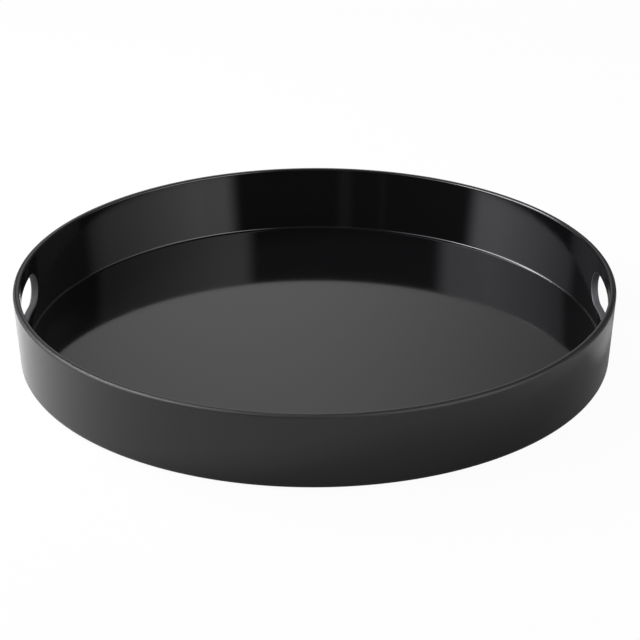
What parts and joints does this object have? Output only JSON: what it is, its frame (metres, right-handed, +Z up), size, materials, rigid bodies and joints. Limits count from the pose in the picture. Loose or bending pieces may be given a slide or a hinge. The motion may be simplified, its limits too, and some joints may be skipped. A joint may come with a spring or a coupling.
{
  "type": "round serving tray with two hand slots",
  "caption": "Round moulded serving tray with a flat floor, a near-upright wall, long round-ended hand slots through opposite sides, and non-slip button feet underneath.",
  "frame": {"origin": "centre of the footprint, on the plane that the feet stand on", "axes": "+Z up, out of the open side; +X through the middle of one hand slot, -X through the other; +Y across"},
  "size_m": [0.3998, 0.3998, 0.0515],
  "materials": {
    "tray_moulding": "black melamine, polished inside and on the rim, satin on the outer wall and underneath",
    "foot_rubber": "matt moulded silicone rubber"
  },
  "bodies": {
    "root": {"tray_body": "tray_moulding", "foot_1": "foot_rubber", "foot_2": "foot_rubber", "foot_3": "foot_rubber", "foot_4": "foot_rubber", "foot_5": "foot_rubber", "foot_6": "foot_rubber"}
  },
  "joints": []
}
